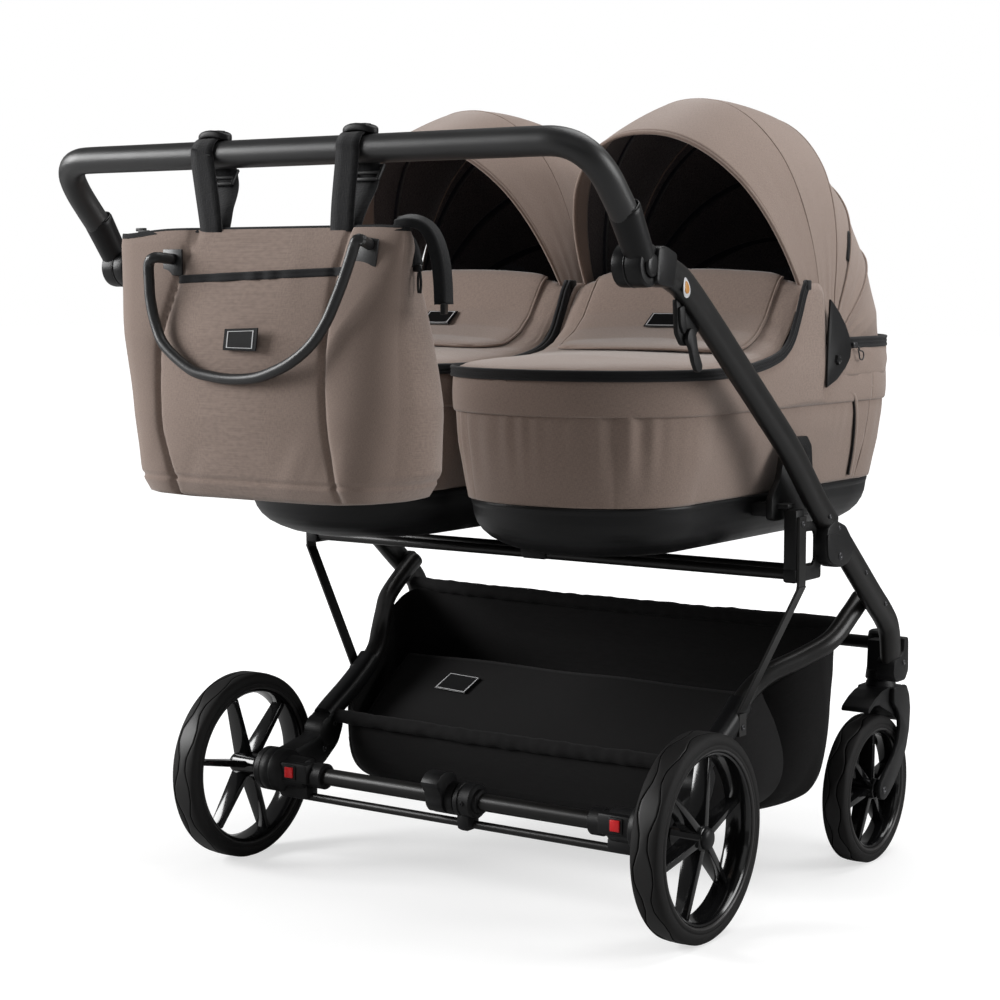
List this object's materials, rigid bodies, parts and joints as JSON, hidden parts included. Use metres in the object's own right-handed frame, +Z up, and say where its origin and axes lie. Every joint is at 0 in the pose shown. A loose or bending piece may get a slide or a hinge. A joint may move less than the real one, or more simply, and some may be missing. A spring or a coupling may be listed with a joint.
{
  "type": "twin carrycot pram",
  "caption": "Side-by-side twin pram: two hooded carrycots on a folding four-wheel tube chassis, with a cloth basket and a bag hung on the handlebar.",
  "frame": {"origin": "middle of the pram's bounding box on the floor the wheels stand on", "axes": "+Z up, +Y forward to the carrycots' head ends and the swivelling front wheels, +X to the side that is the viewer's right when looking along +Y"},
  "size_m": [0.908, 1.14, 1.1332],
  "materials": {
    "taupe_fabric": "matt woven melange cloth",
    "black_fabric": "matt black cloth",
    "white_cotton": "matt white cotton",
    "black_coated_aluminium": "satin black coating",
    "black_plastic": "fine grained black",
    "black_leatherette": "stitched black leatherette",
    "tyre_foam": "matt black foam tyre",
    "red_plastic": "smooth red",
    "black_webbing": "woven black strap",
    "dark_lining": "dark printed lining cloth, print left out",
    "screw_steel": "dark zinc screw heads",
    "bare_label": "bare woven or printed label, lettering left out",
    "rim_grey": "satin grey wheel lip"
  },
  "bodies": {
    "chassis": {"upper_tube_left": "black_coated_aluminium", "upper_tube_right": "black_coated_aluminium", "lower_tube_left": "black_coated_aluminium", "lower_tube_right": "black_coated_aluminium", "fold_hinge_left": "black_plastic", "fold_hinge_right": "black_plastic", "rear_leg_left": "black_coated_aluminium", "rear_leg_right": "black_coated_aluminium", "strut_left": "black_coated_aluminium", "strut_right": "black_coated_aluminium", "cot_post_left": "black_plastic", "cot_post_right": "black_plastic", "cot_bars": "black_coated_aluminium", "front_cross_tube": "black_coated_aluminium", "caster_column_left": "black_plastic", "caster_column_right": "black_plastic", "axle_housing_left": "black_plastic", "axle_housing_right": "black_plastic", "rear_axle": "black_coated_aluminium", "brake_rod": "black_coated_aluminium", "brake_collar": "black_plastic", "basket": "black_fabric", "handle_hub_left": "black_plastic", "handle_hub_right": "black_plastic"},
    "handle": {"handlebar": "black_coated_aluminium", "handle_yoke_left": "black_plastic", "handle_yoke_right": "black_plastic"},
    "bag": {"bag": "taupe_fabric", "bag_strap_left": "black_webbing", "bag_strap_right": "black_webbing"},
    "bag_grip": {"bag_grip": "black_leatherette"},
    "brake_pedal": {"brake_pedal": "black_plastic"},
    "rear_wheel_left": {"rear_rim_left": "black_plastic", "rear_tyre_left": "tyre_foam"},
    "front_fork_left": {"front_fork_left": "black_plastic"},
    "front_wheel_left": {"front_rim_left": "black_plastic", "front_tyre_left": "tyre_foam"},
    "carrycot_left": {"carrycot_tray_left": "black_plastic", "carrycot_body_left": "taupe_fabric", "mattress_left": "white_cotton", "apron_left": "taupe_fabric", "hood_back_left": "taupe_fabric"},
    "hood_front_left": {"hood_front_left": "taupe_fabric"},
    "handle_button_left": {"handle_button_left": "black_plastic"},
    "fold_lever_left": {"fold_lever_left": "black_plastic"},
    "release_button_left": {"release_button_left": "red_plastic"},
    "rear_wheel_right": {"rear_rim_right": "black_plastic", "rear_tyre_right": "tyre_foam"},
    "front_fork_right": {"front_fork_right": "black_plastic"},
    "front_wheel_right": {"front_rim_right": "black_plastic", "front_tyre_right": "tyre_foam"},
    "carrycot_right": {"carrycot_tray_right": "black_plastic", "carrycot_body_right": "taupe_fabric", "mattress_right": "white_cotton", "apron_right": "taupe_fabric", "hood_back_right": "taupe_fabric"},
    "hood_front_right": {"hood_front_right": "taupe_fabric"},
    "handle_button_right": {"handle_button_right": "black_plastic"},
    "fold_lever_right": {"fold_lever_right": "black_plastic"},
    "release_button_right": {"release_button_right": "red_plastic"}
  },
  "joints": [
    {"name": "handle_tilt", "type": "hinge", "parent": "chassis", "child": "handle", "pos_m": [0, -0.353, 0.891], "axis": [1, 0, 0], "range_deg": [-25, 60]},
    {"name": "bag_hang", "type": "hinge", "parent": "handle", "child": "bag", "pos_m": [0, -0.472, 1.035], "axis": [1, 0, 0], "range_deg": [-60, 25]},
    {"name": "bag_grip_swing", "type": "hinge", "parent": "bag", "child": "bag_grip", "pos_m": [0, -0.5635, 0.898], "axis": [1, 0, 0], "range_deg": [-140, 0]},
    {"name": "brake_rock", "type": "hinge", "parent": "chassis", "child": "brake_pedal", "pos_m": [0, -0.142, 0.14], "axis": [1, 0, 0], "range_deg": [0, 22]},
    {"name": "rear_wheel_spin_left", "type": "hinge", "parent": "chassis", "child": "rear_wheel_left", "pos_m": [-0.396, -0.142, 0.14], "axis": [1, 0, 0], "continuous": true},
    {"name": "fork_swivel_left", "type": "hinge", "parent": "chassis", "child": "front_fork_left", "pos_m": [-0.398, 0.413, 0.3], "axis": [0, 0, 1], "continuous": true},
    {"name": "front_wheel_spin_left", "type": "hinge", "parent": "front_fork_left", "child": "front_wheel_left", "pos_m": [-0.398, 0.365, 0.111], "axis": [1, 0, 0], "continuous": true},
    {"name": "carrycot_lift_left", "type": "slide", "parent": "chassis", "child": "carrycot_left", "axis": [0, 0, 1], "range_m": [0, 0.3]},
    {"name": "hood_fold_left", "type": "hinge", "parent": "carrycot_left", "child": "hood_front_left", "pos_m": [-0.2, 0.246, 0.758], "axis": [-1, 0, 0], "range_deg": [0, 40]},
    {"name": "handle_button_press_left", "type": "slide", "parent": "chassis", "child": "handle_button_left", "axis": [1, 0, 0], "range_m": [0, 0.003], "stiffness_N_per_m": 400, "springref_m": -0.003},
    {"name": "fold_lever_pull_left", "type": "hinge", "parent": "chassis", "child": "fold_lever_left", "pos_m": [-0.43985, -0.2473, 0.8026], "axis": [1, 0, 0], "range_deg": [0, 14], "stiffness_Nm_per_rad": 0.3, "springref_deg": -11.46},
    {"name": "release_button_press_left", "type": "slide", "parent": "chassis", "child": "release_button_left", "axis": [0, 1, 0], "range_m": [0, 0.0025], "stiffness_N_per_m": 400, "springref_m": -0.003},
    {"name": "rear_wheel_spin_right", "type": "hinge", "parent": "chassis", "child": "rear_wheel_right", "pos_m": [0.396, -0.142, 0.14], "axis": [1, 0, 0], "continuous": true},
    {"name": "fork_swivel_right", "type": "hinge", "parent": "chassis", "child": "front_fork_right", "pos_m": [0.398, 0.413, 0.3], "axis": [0, 0, 1], "continuous": true},
    {"name": "front_wheel_spin_right", "type": "hinge", "parent": "front_fork_right", "child": "front_wheel_right", "pos_m": [0.398, 0.365, 0.111], "axis": [1, 0, 0], "continuous": true},
    {"name": "carrycot_lift_right", "type": "slide", "parent": "chassis", "child": "carrycot_right", "axis": [0, 0, 1], "range_m": [0, 0.3]},
    {"name": "hood_fold_right", "type": "hinge", "parent": "carrycot_right", "child": "hood_front_right", "pos_m": [0.2, 0.246, 0.758], "axis": [-1, 0, 0], "range_deg": [0, 40]},
    {"name": "handle_button_press_right", "type": "slide", "parent": "chassis", "child": "handle_button_right", "axis": [-1, 0, 0], "range_m": [0, 0.003], "stiffness_N_per_m": 400, "springref_m": -0.003},
    {"name": "fold_lever_pull_right", "type": "hinge", "parent": "chassis", "child": "fold_lever_right", "pos_m": [0.43985, -0.2473, 0.8026], "axis": [1, 0, 0], "range_deg": [0, 14], "stiffness_Nm_per_rad": 0.3, "springref_deg": -11.46},
    {"name": "release_button_press_right", "type": "slide", "parent": "chassis", "child": "release_button_right", "axis": [0, 1, 0], "range_m": [0, 0.0025], "stiffness_N_per_m": 400, "springref_m": -0.003}
  ],
  "couplings": [
    {"joint": "bag_hang", "follows": "handle_tilt", "ratio": -1}
  ]
}
